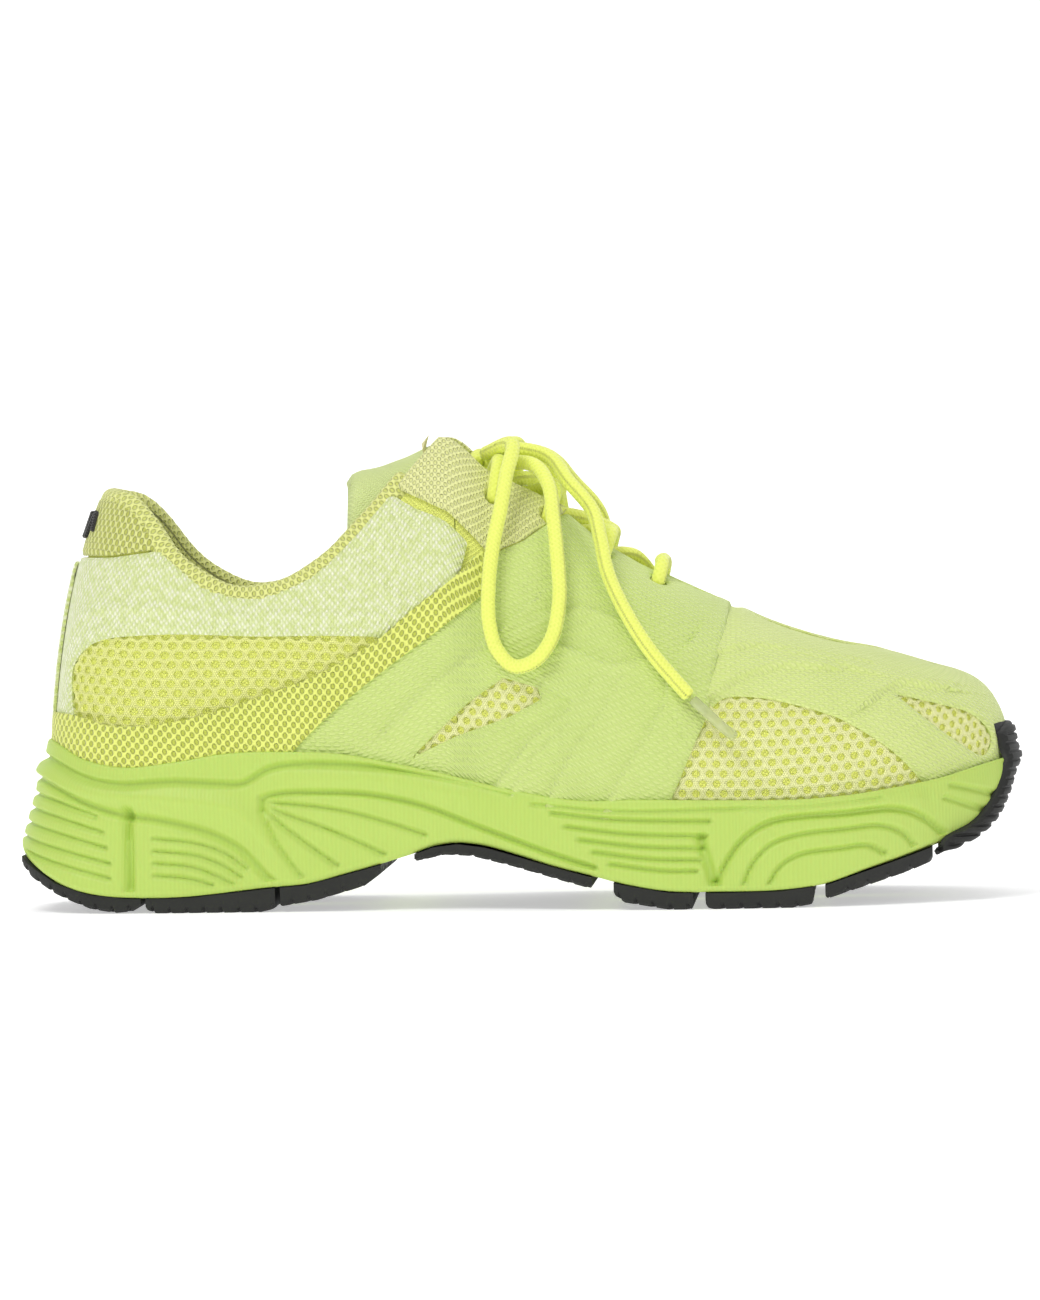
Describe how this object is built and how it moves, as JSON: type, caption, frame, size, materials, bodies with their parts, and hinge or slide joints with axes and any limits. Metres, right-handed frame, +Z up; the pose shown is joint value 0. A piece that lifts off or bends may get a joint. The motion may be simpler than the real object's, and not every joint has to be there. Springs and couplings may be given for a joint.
{
  "type": "running shoe",
  "caption": "Low-cut lace-up running shoe: textile mesh upper with fused overlays, padded tongue and collar, tied round laces, sculpted foam midsole and rubber pod outsole.",
  "frame": {"origin": "on the floor under the middle of the shoe's box, loose laces left out", "axes": "+X from heel to toe, -Y to the lateral (outer) side of a right shoe, +Z up"},
  "size_m": [0.3009, 0.1083, 0.1388],
  "materials": {
    "mesh_textile": "open hexagon air mesh over a darker backing",
    "woven_sheen": "shiny white and lime woven textile",
    "pale_textile": "matt fine mesh",
    "overlay_knit": "matt micro-knit overlay with embossed ridges",
    "strap_mesh": "fine dotted mesh",
    "black_thread": "satin embroidery thread",
    "stiffener": "non-woven thermoplastic",
    "board": "non-woven board",
    "foam": "open-cell foam",
    "lining": "brushed spacer mesh",
    "midsole_foam": "satin moulded foam with fine ribs",
    "lace": "round braided polyester",
    "lace_tip": "clear film tip",
    "outsole_rubber": "matt solid rubber"
  },
  "bodies": {
    "shoe": {"quarter_mesh_lateral": "mesh_textile", "quarter_mesh_medial": "mesh_textile", "vamp_mesh": "mesh_textile", "heel_panel_lateral": "woven_sheen", "heel_panel_medial": "woven_sheen", "heel_tape": "woven_sheen", "eyestay_lateral": "pale_textile", "eyestay_medial": "pale_textile", "heel_patch": "pale_textile", "side_overlay_lateral": "overlay_knit", "side_overlay_medial": "overlay_knit", "toe_overlay": "overlay_knit", "strap_lateral": "strap_mesh", "strap_medial": "strap_mesh", "collar_binding": "pale_textile", "heel_embroidery": "black_thread", "heel_counter": "stiffener", "toe_puff": "stiffener", "strobel_board": "board", "collar_foam": "foam", "collar_lining": "lining", "vamp_lining": "lining", "insole": "lining", "midsole": "midsole_foam", "lacing": "lace", "bow_knot": "lace", "lace_loop_lateral": "lace", "lace_loop_medial": "lace", "lace_end_lateral": "lace", "lace_end_medial": "lace", "lace_tip_lateral": "lace_tip", "lace_tip_medial": "lace_tip", "outsole_heel_rear": "outsole_rubber", "outsole_heel_lateral": "outsole_rubber", "outsole_heel_medial": "outsole_rubber", "outsole_arch_lateral": "outsole_rubber", "outsole_arch_medial": "outsole_rubber", "outsole_midfoot": "outsole_rubber", "outsole_forefoot_1_lateral": "outsole_rubber", "outsole_forefoot_1_medial": "outsole_rubber", "outsole_forefoot_2_lateral": "outsole_rubber", "outsole_forefoot_2_medial": "outsole_rubber", "outsole_forefoot_3_lateral": "outsole_rubber", "outsole_forefoot_3_medial": "outsole_rubber", "outsole_toe": "outsole_rubber"},
    "tongue": {"tongue_face": "overlay_knit", "tongue_foam": "foam", "tongue_lining": "lining"}
  },
  "joints": [
    {"name": "tongue_hinge", "type": "hinge", "parent": "shoe", "child": "tongue", "pos_m": [0.0744, 0, 0.08002], "axis": [0, 1, 0], "range_deg": [-12, 0], "stiffness_Nm_per_rad": 0.8}
  ]
}
